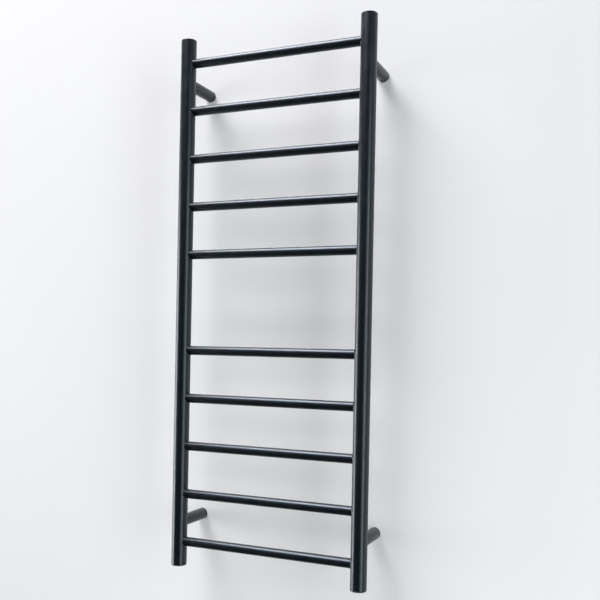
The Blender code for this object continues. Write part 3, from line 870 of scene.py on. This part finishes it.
def make_cutout(finish):
    """Moulded case with rounded corners and a parting groove round its middle."""
    node = "thermal_cutout"
    size = extent(node) / 2
    shape = bmesh.new()
    rings = []
    for index in range(CUTOUT_RINGS + 1):
        height = (index / CUTOUT_RINGS * 2 - 1) * size.z
        inset = cutout_inset(height, size.z)
        ring = []
        for step in range(SMALL_STEPS):
            angle = math.tau * step / SMALL_STEPS
            across = (size.x - inset) * squared(math.cos(angle))
            deep = (size.y - inset) * squared(math.sin(angle))
            ring.append(shape.verts.new((across, deep, height)))
        rings.append(ring)
    shape.faces.new(rings[0])
    shape.faces.new(rings[-1])
    join_rings(shape, zip(rings, rings[1:]))
    mesh = mesh_from(f"{node}_case", shape)
    case = link_object(mesh.name, mesh, middle(node))
    finish_piece(case, finish, "rail", "cutout_case", node)


def make_earth_screw(finish):
    """Pan head machine screw with a hexagon socket and a fine thread."""
    node = "earth_screw"
    length = extent(node).z
    head = extent(node).x / 2
    height = length - EARTH_SCREW_LENGTH
    crown = height / 2
    edge = EDGE_ROUND
    top = arc(head - crown, -crown, crown, 1, 0)
    top += [(head, edge - height), (head - edge, -height), (EARTH_SCREW_RADIUS, -height)]
    mesh = threaded_mesh(f"{node}_threaded", top, EARTH_SCREW_RADIUS, start=-height - edge,
                         end=-length, pitch=EARTH_SCREW_PITCH, depth=EARTH_SCREW_THREAD)
    screw = link_object(mesh.name, mesh, (middle(node).x, middle(node).y, top_of(node)))
    cut(screw, hex_socket(EARTH_SCREW_SOCKET, -crown, crown))
    finish_piece(screw, finish, "rail", "zinc_plate", node)


def paint_node(node, material):
    """Give a carried-over CAD node its material."""
    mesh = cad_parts[node].data
    mesh.materials.clear()
    mesh.materials.append(material)


def make_stage():
    """A pale floor, kept out of reflections, and a pale wall behind the bosses."""
    floor = bpy.data.meshes.new("floor")
    half = FLOOR_SIZE / 2
    corners = [(-half, -half, 0), (half, -half, 0), (half, half, 0), (-half, half, 0)]
    floor.from_pydata(corners, [], [(0, 1, 2, 3)])
    floor_object = link_object("floor", floor, (0, 0, FLOOR_HEIGHT))
    floor_paint = stage_paint("pale_floor", low=(0.10, 0.10, 0.10), high=(0.11, 0.11, 0.11),
                              glow=FLOOR_GLOW)
    floor.materials.append(floor_paint.material)
    floor_object.visible_glossy = False
    floor_object.visible_diffuse = False
    wall = bpy.data.meshes.new("wall")
    half = WALL_WIDTH / 2
    corners = [(-half, 0, 0), (half, 0, 0), (half, 0, WALL_HEIGHT), (-half, 0, WALL_HEIGHT)]
    wall.from_pydata(corners, [], [(0, 1, 2, 3)])
    wall_object = link_object("wall", wall, (0, WALL_OFFSET, FLOOR_HEIGHT))
    wall_paint = stage_paint("pale_wall", low=(0.60, 0.60, 0.597), high=(0.62, 0.62, 0.617))
    see_through_back(wall_paint)
    wall.materials.append(wall_paint.material)
    make_wall_wash(wall_object)


def main():
    make_camera()
    make_lights()
    make_world()
    make_stage()
    paint = powder_coat("black_powder_coat")
    for side_name in SIDES:
        make_post(side_name, paint)
    for rung in RUNGS:
        make_rung(rung, paint)
    boss_finish = powder_coat("black_boss_coat", roughness=(0.45, 0.6))
    zinc = metal("zinc_plate", low=(0.50, 0.50, 0.47), high=(0.66, 0.66, 0.63),
                 roughness=(0.25, 0.42), lines=0.15 * MM)
    black_oxide = metal("black_oxide", low=(0.030, 0.030, 0.033), high=(0.055, 0.055, 0.058),
                        roughness=(0.32, 0.5))
    for corner in CORNERS:
        make_cap(corner, paint)
        make_standoff(corner, paint)
        make_boss(corner, boss_finish)
        make_wall_screw(corner, zinc)
        make_grub_screw(corner, black_oxide)
    silicone = moulded("silicone_jacket", low=(0.36, 0.035, 0.022), high=(0.46, 0.055, 0.034),
                       roughness=(0.42, 0.58), grain=1800, depth=0.06 * MM, stretch=(1, 1, 0.3),
                       sheen=0.15)
    shrink = moulded("shrink_sleeve", low=(0.012, 0.012, 0.013), high=(0.028, 0.028, 0.030),
                     roughness=(0.35, 0.5), grain=900, depth=0.1 * MM)
    case = moulded("cutout_case", low=(0.66, 0.63, 0.55), high=(0.76, 0.73, 0.65),
                   roughness=(0.4, 0.55), grain=1500, depth=0.05 * MM)
    rubber = moulded("grommet_rubber", low=(0.014, 0.014, 0.014), high=(0.03, 0.03, 0.03),
                     roughness=(0.6, 0.8), grain=1400, depth=0.1 * MM)
    copper = metal("tinned_copper", low=(0.58, 0.54, 0.48), high=(0.72, 0.68, 0.61),
                   roughness=(0.22, 0.4))
    paint_node("heating_cable", silicone)
    paint_node("earth_lug", copper)
    make_splice("start_splice", shrink)
    make_splice("return_splice", shrink)
    make_cutout(case)
    make_grommet(rubber)
    make_earth_screw(zinc)


main()
